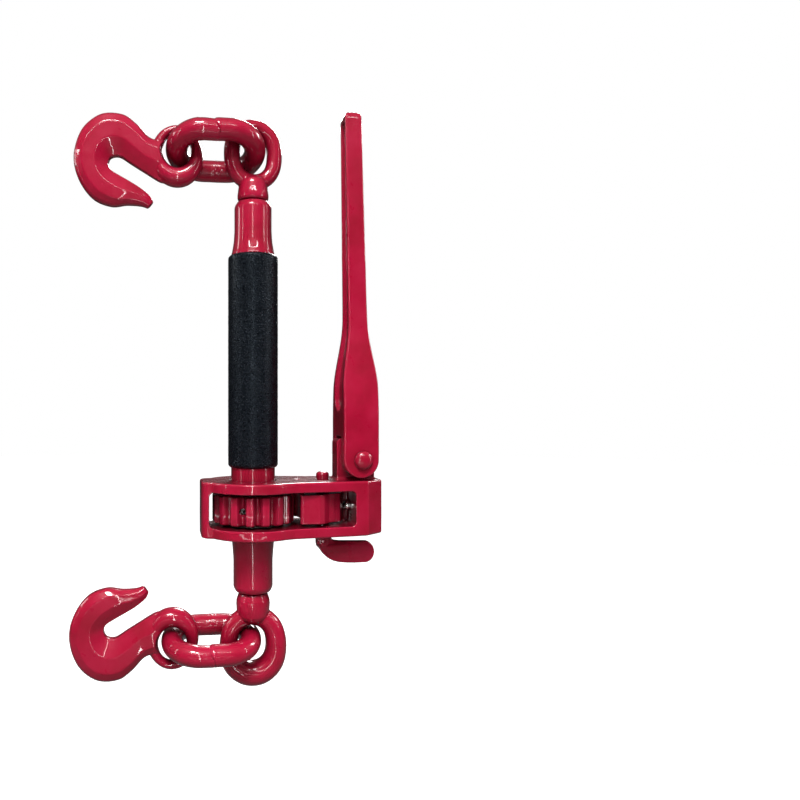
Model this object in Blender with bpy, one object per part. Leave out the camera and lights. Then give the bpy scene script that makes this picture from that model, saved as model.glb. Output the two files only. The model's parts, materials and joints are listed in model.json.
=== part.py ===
"""Ratchet load binder with a folding handle, for 5/16 to 3/8 in transport chain.

Frame: metres, +Z up along the barrel and +X from the barrel to the handle. Sizes below are in millimetres
from the barrel's axis and the middle of the ratchet gear; at the end everything moves by -FRAME_CENTRE, so
that the origin is the middle of the object's box.
"""
import math

import bmesh
import bpy
from mathutils import Matrix, Vector

MM = 0.001
GAP = 0.3                       # clearance between neighbouring pieces
FRAME_CENTRE = (-18.2, 0.0, 79.25)  # middle of the box round all pieces

# Barrel and grip
BARREL_TOP = 221.0
BARREL_BOTTOM = -61.0
BARREL_R = 15.9                 # middle of the barrel
BARREL_TOP_R = 13.5
BARREL_FOOT_R = 14.3
SCREW_R = 9.6                   # both eyebolt screws
BORE_R = SCREW_R + GAP
GRIP_BOTTOM = 29.0
GRIP_TOP = 182.0
GRIP_R = 18.2

# Ratchet gear
TEETH = 16
GEAR_R = 29.6
GEAR_ROOT_R = 25.4
GEAR_HALF = 10.3
GEAR_PIN_R = 2.1
GEAR_PIN_BORE_R = 1.2
WASHER_R = 22.0

# Housing: two plates joined by both ends, with a window right through along Y
PLATE_TOP = 19.7                # half the housing's height
WINDOW_HALF = 12.5              # half the window's height
WINDOW_LEFT = -32.8
WINDOW_RIGHT = 71.8
HUB_R = 35.0
HOUSING_LEFT = -38.2
HOUSING_RIGHT = 94.0
NOSE_HALF = 19.0                # half the housing's depth at the handle end
WAIST = (26.0, 26.4)            # X and Y of the corner between the hub and the straight side
TANG_HALF = 8.0                 # half the thickness of the tang that carries the handle
TANG_LEFT = 60.5
TANG_RIGHT = 88.4

# Handle and its pivot, along Y
PIVOT_X = 77.2
PIVOT_Z = 34.5
EAR_R = 12.9
HANDLE_TOP = 288.0
HANDLE_PIN_R = 5.0

# Pawl on the selector's shaft, along Z
PAWL_X = 51.5
PAWL_HALF = 10.3
PAWL_SWING = math.radians(22.0)  # from neutral to either claw in mesh
MESH_R = 27.4                   # how deep a claw reaches into the gear, from the gear's axis
RIDGE_R = 14.5                  # top of the ridges between the notches in the pawl's back
PAWL_PIN_Z = 5.6
PAWL_PIN_R = 1.6
SHAFT_R = 4.75
SHAFT_TOP = 25.6

# Detent, along X
DETENT_R = 3.6
DETENT_NOSE_X = 69.95           # centre of the plunger's round nose, clear of the pawl's ridges
NOTCH_REACH = 17.7              # from the pawl's axis to the nose's centre when it sits in a notch
DETENT_TAIL_X = 79.0
DETENT_SCREW_X = 89.0

# Eyebolts, links and hooks
EYE_HOLE_R = 10.0               # half the width of the long hole in each eye
UPPER_EYE = (0.3, 255.8)        # X and Z of the hole's middle
LOWER_EYE = (-1.0, -98.7)
UPPER_STRETCH = 4.2             # how much further the hole's round ends stand from its middle
LOWER_STRETCH = 3.1
UPPER_EYE_WIRES = (5.8, 5.6)    # radius of the eye's sides, and of its crown
LOWER_EYE_WIRES = (6.8, 9.0)
UPPER_EYE_YAW = math.radians(6.0)  # both eyes stand slightly turned about the barrel's axis
LOWER_EYE_YAW = math.radians(-2.0)
UPPER_COLLAR_DROP = 21.0        # from the eye's middle to the end of its collar
LOWER_COLLAR_DROP = 20.0
SCREW_IN = 124.0                # screw length inside the barrel, fully closed
LINK_R = 7.9
LINK_HALF_WIDTH = 20.0          # from the link's centre line to each long wire's
LINK_SPAN = 56.6                # between the centres of the two end bends
UPPER_LINK_END = (1.3, 257.5)   # X and Z of the end bend inside the eye
LOWER_LINK_END = (-1.9, -95.3)
UPPER_LINK_ROLL = math.radians(27.0)
LOWER_LINK_ROLL = math.radians(-14.5)
HOOK_EYE = (18.4, 22.2)         # outer half-sizes of the hook's eye, along and across the hook
HOOK_EYE_RISE = 2.2             # from the hook's origin to the middle of its eye, away from the throat
HOOK_HOLE = (9.8, 11.4)         # half-sizes of the long hole in it
HOOK_SLACK = 2.0                # from the top of that hole to the link's bend
HOOK_HOLE_RISE = 5.8            # from the hook's origin to the middle of that hole

ROUND = 32                      # sides of the larger turned pieces


# Mesh helpers

def new_object(name, bm, material):
    """Scale a millimetre mesh to metres, point its faces outwards and add it to the scene."""
    bmesh.ops.scale(bm, vec=(MM, MM, MM), verts=bm.verts)
    bmesh.ops.recalc_face_normals(bm, faces=bm.faces)
    if bm.calc_volume(signed=True) < 0:
        bmesh.ops.reverse_faces(bm, faces=bm.faces)
    mesh = bpy.data.meshes.new(name)
    bm.to_mesh(mesh)
    bm.free()
    mesh.shade_smooth()
    mesh.set_sharp_from_angle(angle=math.radians(35))
    obj = bpy.data.objects.new(name, mesh)
    bpy.context.collection.objects.link(obj)
    if material is not None:
        mesh.materials.append(material)
    return obj


def skin_rings(bm, rings, closed_path=False):
    """Join rings of vertices into a skin, and cap both ends of an open one."""
    count = len(rings[0])
    pairs = list(zip(rings, rings[1:]))
    if closed_path:
        pairs.append((rings[-1], rings[0]))
    for a, b in pairs:
        for i in range(count):
            j = (i + 1) % count
            bm.faces.new((a[i], a[j], b[j], b[i]))
    if not closed_path:
        bm.faces.new(rings[0][::-1])
        bm.faces.new(rings[-1])


def turned(profile, sides=ROUND, bore=None):
    """A solid of revolution about Z from (radius, z) points; with a bore radius it is a tube."""
    bm = bmesh.new()
    points = list(profile)
    if bore is not None:
        points += [(bore, profile[-1][1]), (bore, profile[0][1])]
    rings = []
    for radius, z in points:
        ring = []
        for i in range(sides):
            a = 2 * math.pi * i / sides
            ring.append(bm.verts.new((radius * math.cos(a), radius * math.sin(a), z)))
        rings.append(ring)
    skin_rings(bm, rings, closed_path=bore is not None)
    return bm


def prism(outline, low, high, holes=()):
    """A flat outline in X and Y, raised from low to high, with round holes (x, y, radius)."""
    bm = bmesh.new()
    loops = [list(outline)]
    for x, y, radius in holes:
        loops.append([(x + radius * math.cos(a), y + radius * math.sin(a)) for a in angles(24)])
    levels = []
    for z in (low, high):
        edges = []
        verts = []
        for loop in loops:
            ring = [bm.verts.new((x, y, z)) for x, y in loop]
            verts.append(ring)
            edges += [bm.edges.new((ring[i], ring[(i + 1) % len(ring)])) for i in range(len(ring))]
        bmesh.ops.triangle_fill(bm, edges=edges, use_beauty=True)
        levels.append(verts)
    for lower, upper in zip(*levels):
        for i in range(len(lower)):
            j = (i + 1) % len(lower)
            bm.faces.new((lower[i], lower[j], upper[j], upper[i]))
    return bm


def angles(count, start=0.0, sweep=2 * math.pi):
    return [start + sweep * i / count for i in range(count)]


def arc(cx, cy, radius, start_deg, end_deg, steps, radius_y=None):
    """Points along an arc of a circle, or of an ellipse when radius_y is given."""
    ry = radius if radius_y is None else radius_y
    points = []
    for i in range(steps + 1):
        a = math.radians(start_deg + (end_deg - start_deg) * i / steps)
        points.append((cx + radius * math.cos(a), cy + ry * math.sin(a)))
    return points


def tube_along(path, radii, sides, closed=False):
    """A round tube along a path; the section stays square to it and is carried without twist."""
    bm = bmesh.new()
    count = len(path)
    rings = []
    normal = None
    for i, point in enumerate(path):
        ahead = path[(i + 1) % count] if closed or i + 1 < count else point
        behind = path[i - 1] if closed or i > 0 else point
        tangent = (ahead - behind).normalized()
        if normal is None:
            normal = tangent.orthogonal().normalized()
        normal = (normal - tangent * normal.dot(tangent)).normalized()
        across = tangent.cross(normal)
        ring = []
        for a in angles(sides, start=math.pi / sides):
            offset = normal * math.cos(a) + across * math.sin(a)
            ring.append(bm.verts.new(point + offset * radii[i]))
        rings.append(ring)
    skin_rings(bm, rings, closed_path=closed)
    return bm


def cutter(name, bm, matrix=None):
    """A hidden object for a Boolean."""
    obj = new_object(name, bm, None)
    if matrix is not None:
        obj.data.transform(matrix)
    obj.hide_render = True
    obj.display_type = "WIRE"
    return obj


def apply_boolean(obj, other, operation):
    mod = obj.modifiers.new(other.name, "BOOLEAN")
    mod.operation = operation
    mod.solver = "EXACT"
    mod.object = other
    return mod


def along_x(x, y, z):
    """Lay a piece made along Z along +X, with its start at the given point, in millimetres."""
    return Matrix.Translation(Vector((x, y, z)) * MM) @ Matrix.Rotation(math.radians(90), 4, "Y")


def along_y(x, y, z):
    """Lay a piece made along Z along +Y, with its start at the given point, in millimetres."""
    return Matrix.Translation(Vector((x, y, z)) * MM) @ Matrix.Rotation(math.radians(-90), 4, "X")


def set_origin(obj, x, y, z):
    """Move an object's origin to its joint axis without moving its shape."""
    point = Vector((x, y, z)) * MM
    obj.data.transform(Matrix.Translation(-point))
    obj.location = point


def material(name, colour, roughness, metallic):
    mat = bpy.data.materials.new(name)
    mat.use_nodes = True
    shader = mat.node_tree.nodes["Principled BSDF"]
    shader.inputs["Base Color"].default_value = (*colour, 1.0)
    shader.inputs["Roughness"].default_value = roughness
    shader.inputs["Metallic"].default_value = metallic
    return mat


def red_enamel():
    return material("red_enamel", (0.48, 0.012, 0.05), 0.22, 0.0)


def black_sleeve():
    return material("black_sleeve", (0.006, 0.008, 0.011), 0.55, 0.0)


def bright_steel():
    return material("bright_steel", (0.62, 0.62, 0.60), 0.25, 1.0)


def plain_steel():
    return material("plain_steel", (0.30, 0.30, 0.31), 0.40, 1.0)


# Barrel group

def build_barrel(paint):
    profile = [
        (BARREL_FOOT_R - 2.6, BARREL_BOTTOM),
        (BARREL_FOOT_R, BARREL_BOTTOM + 3.5),
        (BARREL_FOOT_R, -36.0),
        (BARREL_FOOT_R + 0.8, -27.0),
        (BARREL_R, -19.0),
        (BARREL_R, GRIP_TOP + 0.5),
        (BARREL_R - 0.8, GRIP_TOP + 3.0),
        (BARREL_TOP_R + 0.4, 192.0),
        (BARREL_TOP_R, 200.0),
        (BARREL_TOP_R, BARREL_TOP - 3.6),
        (BARREL_TOP_R - 2.2, BARREL_TOP),
    ]
    barrel = new_object("barrel", turned(profile, bore=BORE_R), paint)
    apply_boolean(barrel, gear_pin_drill("barrel_pin_drill"), "DIFFERENCE")
    return barrel


def build_grip(sleeve):
    profile = [
        (GRIP_R - 1.4, GRIP_BOTTOM),
        (GRIP_R, GRIP_BOTTOM + 1.6),
        (GRIP_R, GRIP_TOP - 1.6),
        (GRIP_R - 1.4, GRIP_TOP),
    ]
    return new_object("grip_sleeve", turned(profile, bore=BARREL_R + GAP), sleeve)


def gear_outline():
    """Square-topped teeth with scooped valleys; a valley faces each of the four axes."""
    points = []
    pitch = 2 * math.pi / TEETH
    valley_half = 0.27 * pitch      # half the valley's width, as an angle
    for tooth in range(TEETH):
        centre = tooth * pitch
        for step in range(-2, 3):
            share = step / 2
            depth = math.cos(share * math.pi / 2) ** 0.8 if abs(share) < 1 else 0.0
            radius = GEAR_R - (GEAR_R - GEAR_ROOT_R) * depth
            a = centre + valley_half * share
            points.append((radius * math.cos(a), radius * math.sin(a)))
    return points


def build_gear(paint):
    bore = BARREL_R + GAP
    gear = new_object("ratchet_gear", prism(gear_outline(), -GEAR_HALF, GEAR_HALF, [(0, 0, bore)]), paint)
    apply_boolean(gear, gear_pin_drill("gear_pin_drill"), "DIFFERENCE")
    return gear


def gear_pin_matrix(start):
    """From the barrel's axis out through the valley one tooth to the left of the front."""
    turn = Matrix.Rotation(math.radians(-90.0) - 2 * math.pi / TEETH, 4, "Z")
    return turn @ along_x(start, 0, 0)


def gear_pin_drill(name):
    drill = turned([(GEAR_PIN_R + GAP, 0), (GEAR_PIN_R + GAP, 24.0)], sides=12)
    return cutter(name, drill, gear_pin_matrix(7.0))


def build_gear_pin(steel):
    profile = [(GEAR_PIN_R - 0.5, 0), (GEAR_PIN_R, 0.5), (GEAR_PIN_R, 12.3), (GEAR_PIN_R - 0.5, 12.8)]
    pin = new_object("gear_roll_pin", turned(profile, sides=12, bore=GEAR_PIN_BORE_R), steel)
    pin.data.transform(gear_pin_matrix(11.0))
    return pin


def build_thrust_washer(name, low, steel):
    high = low + WINDOW_HALF - GEAR_HALF - 2 * GAP
    profile = [(WASHER_R, low), (WASHER_R, high)]
    return new_object(name, turned(profile, bore=BARREL_R + GAP), steel)


# Housing group

def housing_outline():
    """Plan of the housing: a round hub, a waist and a blunt nose under the handle."""
    nose_r = 10.0
    nose = arc(HOUSING_RIGHT - nose_r, NOSE_HALF - nose_r, nose_r, 0, 84, 4)
    crease = [(HOUSING_RIGHT - nose_r - 2.0, NOSE_HALF)]
    waist = [WAIST]
    hub = arc(0, 0, HUB_R, 56, 150, 12)
    corner = arc(HOUSING_LEFT + 8.0, 10.0, 8.0, 120, 180, 3)
    upper = nose + crease + waist + hub + corner
    return upper + [(x, -y) for x, y in reversed(upper)]


def rounded_box_outline(x0, x1, y0, y1, radius, steps=3):
    points = arc(x1 - radius, y1 - radius, radius, 0, 90, steps)
    points += arc(x0 + radius, y1 - radius, radius, 90, 180, steps)
    points += arc(x0 + radius, y0 + radius, radius, 180, 270, steps)
    points += arc(x1 - radius, y0 + radius, radius, 270, 360, steps)
    return points


def tang_outline():
    """The tang in X and Z: a straight inner edge, a round top and a foot sunk into the plate."""
    top = PIVOT_Z + 15.2
    points = [(TANG_LEFT, 15.0), (TANG_RIGHT, 15.0), (TANG_RIGHT, PIVOT_Z)]
    points += arc(PIVOT_X, PIVOT_Z, TANG_RIGHT - PIVOT_X, 15, 90, 5, radius_y=15.2)
    points += [(TANG_LEFT + 3.0, top), (TANG_LEFT, top - 3.0)]
    return points


def stand_up(low):
    """Turn a prism drawn in X and Y so that it is drawn in X and Z and runs from y = low."""
    return Matrix.Translation(Vector((0, low, 0)) * MM) @ Matrix(
        ((1, 0, 0, 0), (0, 0, 1, 0), (0, 1, 0, 0), (0, 0, 0, 1)))


def upright_prism(name, outline, low, high, holes=()):
    obj = cutter(name, prism(outline, 0, high - low, holes), stand_up(low))
    obj.data.flip_normals()
    return obj


def build_housing(paint):
    holes = [(0, 0, BARREL_R + GAP), (PAWL_X, 0, SHAFT_R + GAP), (33.0, 0, 1.6)]
    housing = new_object("housing", prism(housing_outline(), -PLATE_TOP, PLATE_TOP, holes), paint)
    tang = upright_prism("tang", tang_outline(), -TANG_HALF, TANG_HALF)
    window = rounded_box_outline(WINDOW_LEFT, WINDOW_RIGHT, -WINDOW_HALF, WINDOW_HALF, 3.0)
    apply_boolean(housing, tang, "UNION")
    apply_boolean(housing, upright_prism("window", window, -50, 50), "DIFFERENCE")
    bore = turned([(HANDLE_PIN_R + GAP, -20), (HANDLE_PIN_R + GAP, 20)], sides=24)
    apply_boolean(housing, cutter("tang_bore", bore, along_y(PIVOT_X, 0, PIVOT_Z)), "DIFFERENCE")
    detent = turned([(DETENT_R + GAP, 0), (DETENT_R + GAP, DETENT_SCREW_X - 70.0 - GAP)], sides=16)
    apply_boolean(housing, cutter("detent_bore", detent, along_x(70.0, 0, 0)), "DIFFERENCE")
    thread = turned([(4.6, 0), (4.6, 10.0)], sides=20)
    thread_at = along_x(DETENT_SCREW_X - GAP, 0, 0)
    apply_boolean(housing, cutter("screw_bore", thread, thread_at), "DIFFERENCE")
    return housing


def build_handle_pin(paint):
    """A rivet with a domed head on each side of the handle's fork."""
    reach = 18.3 + GAP
    dome = [(6.5, 0), (6.5, 1.0), (5.6, 2.7), (3.4, 3.8), (1.1, 4.2)]
    lower = [(r, -reach - h) for r, h in reversed(dome)]
    upper = [(r, reach + h) for r, h in dome]
    profile = lower + [(HANDLE_PIN_R, -reach), (HANDLE_PIN_R, reach)] + upper
    pin = new_object("handle_pin", turned(profile, sides=24), paint)
    pin.data.transform(along_y(PIVOT_X, 0, PIVOT_Z))
    return pin


def build_detent_screw(steel):
    """A set screw that closes the detent's bore, flush with the nose, with a hexagon socket."""
    profile = [(3.8, 0), (4.3, 0.5), (4.3, 4.3), (3.8, 4.8)]
    screw = new_object("detent_set_screw", turned(profile, sides=20), steel)
    screw.data.transform(along_x(DETENT_SCREW_X, 0, 0))
    socket = turned([(2.3, 0), (2.3, 4.0)], sides=6)
    apply_boolean(screw, cutter("hexagon_socket", socket, along_x(DETENT_SCREW_X + 2.2, 0, 0)), "DIFFERENCE")
    return screw


def build_detent_spring(steel):
    turns = 5.0
    per_turn = 10
    wire = 0.42
    start = DETENT_TAIL_X + GAP + wire
    length = DETENT_SCREW_X - GAP - wire - start
    count = int(turns * per_turn)
    path = []
    for i in range(count + 1):
        a = 2 * math.pi * i / per_turn
        path.append(Vector((start + length * i / count, 2.7 * math.cos(a), 2.7 * math.sin(a))))
    return new_object("detent_spring", tube_along(path, [wire] * len(path), 5), steel)


def build_detent_plunger(steel):
    """A round-nosed pin; profile runs from the tail to the nose."""
    profile = [(DETENT_R - 0.4, 0), (DETENT_R, 0.4)]
    length = DETENT_TAIL_X - DETENT_NOSE_X
    for step in range(5):
        a = math.radians(90) * step / 5
        profile.append((DETENT_R * math.cos(a), length + DETENT_R * math.sin(a)))
    profile.append((0.5, length + DETENT_R * 0.99))
    plunger = new_object("detent_plunger", turned(profile, sides=16), steel)
    plunger.data.transform(
        Matrix.Translation(Vector((DETENT_TAIL_X, 0, 0)) * MM) @ Matrix.Rotation(math.radians(-90), 4, "Y"))
    return plunger


# Pawl group

def pawl_outline():
    """Plan of the double pawl in neutral, drawn about its own shaft: two claws and a notched back."""
    valley = 2 * math.pi / TEETH
    reach_x = PAWL_X - MESH_R * math.cos(valley)
    reach_y = MESH_R * math.sin(valley)
    reach = math.hypot(reach_x, reach_y)
    claw = math.atan2(reach_y, -reach_x) - PAWL_SWING
    tip = (reach * math.cos(claw), reach * math.sin(claw))
    upper = []
    for step in range(13):
        a = 1.5 * PAWL_SWING * step / 12
        upper.append((back_radius(a) * math.cos(a), back_radius(a) * math.sin(a)))
    upper += [(10.6, 10.8), (7.3, 14.0), (-3.6, 20.2), (-6.4, tip[1] + 1.7), (tip[0] + 1.6, tip[1] + 1.7)]
    upper += [(tip[0] + 0.3, tip[1] + 0.9), (tip[0], tip[1] - 0.2)]
    upper += [(tip[0] + 3.8, tip[1] - 3.4), (tip[0] + 5.0, 9.4), (-12.9, 4.2)]
    return upper + [(x, -y) for x, y in reversed(upper[1:])]


def back_radius(a):
    """The pawl's back: three round notches for the plunger's nose, for neutral and each claw."""
    off = min(abs(a), abs(a - PAWL_SWING))
    nose = DETENT_R + GAP
    notch = NOTCH_REACH * math.cos(off) - math.sqrt(nose ** 2 - (NOTCH_REACH * math.sin(off)) ** 2)
    return min(notch, RIDGE_R)


def build_pawl(paint):
    bore = (0, 0, SHAFT_R + GAP)
    pawl = new_object("pawl", prism(pawl_outline(), -PAWL_HALF, PAWL_HALF, [bore]), paint)
    pawl.location = (PAWL_X * MM, 0, 0)
    apply_boolean(pawl, pawl_pin_drill("pawl_pin_drill"), "DIFFERENCE")
    return pawl


def pawl_pin_drill(name):
    drill = turned([(PAWL_PIN_R + GAP, 0), (PAWL_PIN_R + GAP, 40.0)], sides=12)
    return cutter(name, drill, along_x(PAWL_X - 20.0, 0, PAWL_PIN_Z))


def build_pawl_pin(steel):
    profile = [(PAWL_PIN_R - 0.4, 0), (PAWL_PIN_R, 0.4), (PAWL_PIN_R, 20.6), (PAWL_PIN_R - 0.4, 21.0)]
    pin = new_object("pawl_roll_pin", turned(profile, sides=12), steel)
    pin.data.transform(along_x(PAWL_X - 10.5, 0, PAWL_PIN_Z))
    set_origin(pin, PAWL_X, 0, 0)
    return pin


def lever_outline():
    """The selector's blade in X and Z: a curved root under the shaft and a rounded paddle."""
    points = [(47.4, -21.5), (47.8, -27.0), (49.6, -32.0), (52.8, -36.4), (57.4, -39.8), (63.5, -41.8)]
    points += [(72.0, -42.4)] + arc(83.2, -34.3, 7.0, -86, 86, 7, radius_y=8.0)
    points += [(74.0, -26.0), (62.0, -25.8), (58.4, -24.6), (57.2, -21.5)]
    return points


def build_selector(paint):
    """Shaft, hub and blade, forged as one piece; the shaft's round top stands over the housing."""
    hub_top = -PLATE_TOP - GAP
    profile = [(3.4, -30.0), (5.0, -27.5), (5.0, -23.4), (7.0, -23.0), (7.0, hub_top), (SHAFT_R, hub_top)]
    profile += [(SHAFT_R, SHAFT_TOP - 2.4)]
    profile += [(r, z) for r, z in arc(0, SHAFT_TOP - 2.4, SHAFT_R, 25, 75, 3, radius_y=2.4)]
    lever = new_object("selector_lever", turned(profile, sides=24), paint)
    lever.location = (PAWL_X * MM, 0, 0)
    apply_boolean(lever, upright_prism("lever_blade", lever_outline(), -2.9, 2.9), "UNION")
    apply_boolean(lever, pawl_pin_drill("shaft_pin_drill"), "DIFFERENCE")
    return lever


# Handle

def handle_station(z):
    """Centre, half-width along X and half-depth along Y of the handle's bar at a height."""
    if z < PIVOT_Z:
        half = math.sqrt(max(EAR_R ** 2 - (z - PIVOT_Z) ** 2, 0.0))
        return PIVOT_X - 1.0, half, 18.3
    taper = smooth((z - 84.0) / (136.0 - 84.0))
    upper = (z - 136.0) / (HANDLE_TOP - 136.0)
    half = EAR_R + (7.1 - EAR_R) * taper - 0.9 * max(0.0, upper)
    depth = 18.3 + (9.6 - 18.3) * smooth((z - 62.0) / (150.0 - 62.0)) - 1.6 * max(0.0, upper)
    centre = PIVOT_X - 1.0 - 0.4 * taper - 2.9 * max(0.0, upper)
    return centre, half, depth


def smooth(share):
    share = min(max(share, 0.0), 1.0)
    return share * share * (3 - 2 * share)


def handle_body():
    heights = [PIVOT_Z - EAR_R * math.cos(math.radians(a)) for a in (12, 25, 40, 55, 72, 90)]
    heights += [48, 62, 74, 86, 98, 110, 122, 136, 150, 190, 240, 280, 286, HANDLE_TOP]
    bm = bmesh.new()
    rings = []
    for z in heights:
        centre, half, depth = handle_station(z)
        if z > 280:
            half *= 1 - 0.16 * (z - 280) / 8
            depth *= 1 - 0.16 * (z - 280) / 8
        corner = min(2.2, 0.3 * half)
        section = [(half, -depth + corner), (half, depth - corner), (half - corner, depth)]
        section += [(-half + corner, depth), (-half, depth - corner), (-half, -depth + corner)]
        section += [(-half + corner, -depth), (half - corner, -depth)]
        rings.append([bm.verts.new((centre + x, y, z)) for x, y in section])
    skin_rings(bm, rings)
    return bm


def fork_slot():
    """The gap between the fork's ears, open below and through both narrow sides."""
    top = PIVOT_Z + 16.6
    outline = [(50, 10), (110, 10), (110, top), (50, top)]
    half = TANG_HALF + 0.5
    return upright_prism("fork_slot", outline, -half, half)


def side_channel(name, sign):
    """A long shallow forged channel in the handle's inner or outer edge, with a pointed foot."""
    bm = bmesh.new()
    rings = []
    for z, share in ((74, 0.12), (86, 0.5), (110, 0.58), (150, 0.6), (276, 0.6), (281, 0.3)):
        centre, half, depth = handle_station(z)
        face = centre + sign * half
        floor = face - sign * 3.0
        wide = depth * share
        narrow = wide * 0.7
        ring = [(face + sign * 4, -wide), (face + sign * 4, wide), (floor, narrow), (floor, -narrow)]
        rings.append([bm.verts.new((x, y, z)) for x, y in ring])
    skin_rings(bm, rings)
    return cutter(name, bm)


def build_handle(paint):
    handle = new_object("handle", handle_body(), paint)
    apply_boolean(handle, fork_slot(), "DIFFERENCE")
    apply_boolean(handle, side_channel("inner_channel", -1), "DIFFERENCE")
    apply_boolean(handle, side_channel("outer_channel", 1), "DIFFERENCE")
    bore = turned([(HANDLE_PIN_R + GAP, -30), (HANDLE_PIN_R + GAP, 30)], sides=24)
    apply_boolean(handle, cutter("handle_bore", bore, along_y(PIVOT_X, 0, PIVOT_Z)), "DIFFERENCE")
    set_origin(handle, PIVOT_X, 0, PIVOT_Z)
    return handle


# Eyebolts, links and hooks

def eye_ring(centre, stretch, wires, away, yaw):
    """A forged eye round a long hole, thicker at the crown; away is +1 when the crown is above the hole."""
    side, crown = wires
    x0, z0 = centre
    path = []
    radii = []
    for a in angles(32):
        share = ((1 + away * math.sin(a)) / 2) ** 2.5
        wire = side + (crown - side) * share - x0 / 2 * math.cos(a)
        shift = stretch * min(max(2 * math.sin(a), -1), 1)
        x = x0 + (EYE_HOLE_R + wire) * math.cos(a)
        z = z0 + (EYE_HOLE_R + wire) * math.sin(a) + shift
        path.append(Vector((x * math.cos(yaw), x * math.sin(yaw), z)))
        radii.append(wire)
    return tube_along(path, radii, 12, closed=True)


def build_eyebolt(name, ring, collar_end, barrel_end, away, paint):
    """Eye, collar and screw. The screw is a plain rod at the thread's outer diameter."""
    neck = barrel_end + away * 0.8
    middle = (neck + collar_end) / 2
    length = abs(collar_end - neck)
    profile = [
        (SCREW_R - 1.6, barrel_end - away * SCREW_IN),
        (SCREW_R, barrel_end - away * (SCREW_IN - 1.8)),
        (SCREW_R, neck),
        (10.6, neck + away * 0.22 * length),
        (11.5, middle),
        (11.1, neck + away * 0.75 * length),
        (8.6, collar_end),
    ]
    if away < 0:
        profile.reverse()
    bolt = new_object(name, turned(profile, sides=24), paint)
    apply_boolean(bolt, cutter(name + "_eye", ring), "UNION")
    return bolt


def build_link(name, end, roll, paint):
    """A round-wire link that reaches from its end bend at `end` towards -X, rolled about its length."""
    bend = LINK_HALF_WIDTH
    x0, z0 = end
    near = x0 - bend
    far = x0 - LINK_SPAN + bend
    plan = arc(near, 0, bend, -90, 90, 10) + arc(far, 0, bend, 90, 270, 10)
    path = []
    for x, y in plan:
        path.append(Vector((x, y * math.cos(roll), z0 - y * math.sin(roll))))
    link = new_object(name, tube_along(path, [LINK_R] * len(path), 12, closed=True), paint)
    set_origin(link, x0, 0, z0)
    return link


# Back and throat of the forged hook at each station from the eye to the point, as (x, z) from the
# hook's origin, and half the thickness there. The throat's first four points lie on one line, so the
# chain slot's flank is flat.
HOOK_STATIONS = [
    ((-9.9, 12.1), (-11.9, -16.6), 6.8),
    ((-19.6, 14.5), (-24.1, -9.6), 7.2),
    ((-28.4, 23.4), (-32.3, -4.6), 7.6),
    ((-38.3, 29.7), (-40.1, 0.0), 7.8),
    ((-53.2, 29.2), (-45.8, -0.6), 7.9),
    ((-66.1, 18.5), (-47.9, -3.7), 7.9),
    ((-72.1, 0.6), (-48.0, -7.1), 7.9),
    ((-69.4, -16.0), (-45.8, -10.3), 7.9),
    ((-59.5, -29.9), (-40.4, -13.5), 7.6),
    ((-46.5, -35.2), (-31.9, -18.1), 7.0),
    ((-35.3, -34.0), (-25.3, -22.0), 5.9),
    ((-25.5, -34.4), (-18.8, -27.2), 4.6),
    ((-20.7, -35.9), (-16.7, -31.5), 3.2),
]


def spline(a, b, c, d, t):
    """Catmull-Rom point between b and c."""
    return 0.5 * (2 * b + (c - a) * t + (2 * a - 5 * b + 4 * c - d) * t * t
                  + (3 * b - a - 3 * c + d) * t ** 3)


def smooth_stations(stations, steps):
    """Stations with smooth ones put in between, in the same (back, throat, half-thickness) form."""
    flat = [(*back, *throat, thick) for back, throat, thick in stations]
    rows = []
    for i in range(len(flat) - 1):
        window = [flat[max(i - 1, 0)], flat[i], flat[i + 1], flat[min(i + 2, len(flat) - 1)]]
        rows += [[spline(*values, step / steps) for values in zip(*window)] for step in range(steps)]
    rows.append(list(flat[-1]))
    return [((r[0], r[1]), (r[2], r[3]), r[4]) for r in rows]


def hook_body(origin, mirror):
    """Loft the hook's stations; each section is wedge-shaped, thin with a flat land at the throat."""
    x0, z0 = origin
    section = [(-1.0, 0.42), (-0.72, 0.86), (-0.2, 1.0), (0.42, 0.84), (0.84, 0.56), (1.0, 0.32)]
    loop = section + [(u, -v) for u, v in reversed(section)]
    bm = bmesh.new()
    rings = []
    for back, throat, thick in smooth_stations(HOOK_STATIONS, 2):
        ring = []
        for u, v in loop:
            share = (u + 1) / 2
            x = back[0] + (throat[0] - back[0]) * share
            z = back[1] + (throat[1] - back[1]) * share
            ring.append(bm.verts.new((x0 + x, v * thick, z0 + mirror * z)))
        rings.append(ring)
    skin_rings(bm, rings)
    return bm


def hook_eye(origin, mirror):
    """The eye as a ring of changing thickness between its long hole and its outer outline."""
    x0, z0 = origin
    path = []
    radii = []
    for a in angles(24):
        inner_x = HOOK_HOLE[0] * math.cos(a)
        inner_z = HOOK_HOLE[1] * math.sin(a) + HOOK_HOLE_RISE
        outer_x = HOOK_EYE[0] * math.cos(a)
        outer_z = HOOK_EYE[1] * math.sin(a) + HOOK_EYE_RISE
        path.append(Vector((x0 + (inner_x + outer_x) / 2, 0, z0 + mirror * (inner_z + outer_z) / 2)))
        radii.append(math.hypot(outer_x - inner_x, outer_z - inner_z) / 2)
    return tube_along(path, radii, 12, closed=True)


def build_hook(name, link_end, mirror, paint):
    x0, z0 = hook_origin(link_end, mirror)
    hook = new_object(name, hook_body((x0, z0), mirror), paint)
    apply_boolean(hook, cutter(name + "_eye", hook_eye((x0, z0), mirror)), "UNION")
    outline = [(x0 + HOOK_HOLE[0] * math.cos(a), z0 + mirror * HOOK_HOLE_RISE + HOOK_HOLE[1] * math.sin(a))
               for a in angles(24)]
    apply_boolean(hook, upright_prism(name + "_hole", outline, -20, 20), "DIFFERENCE")
    return hook


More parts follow.
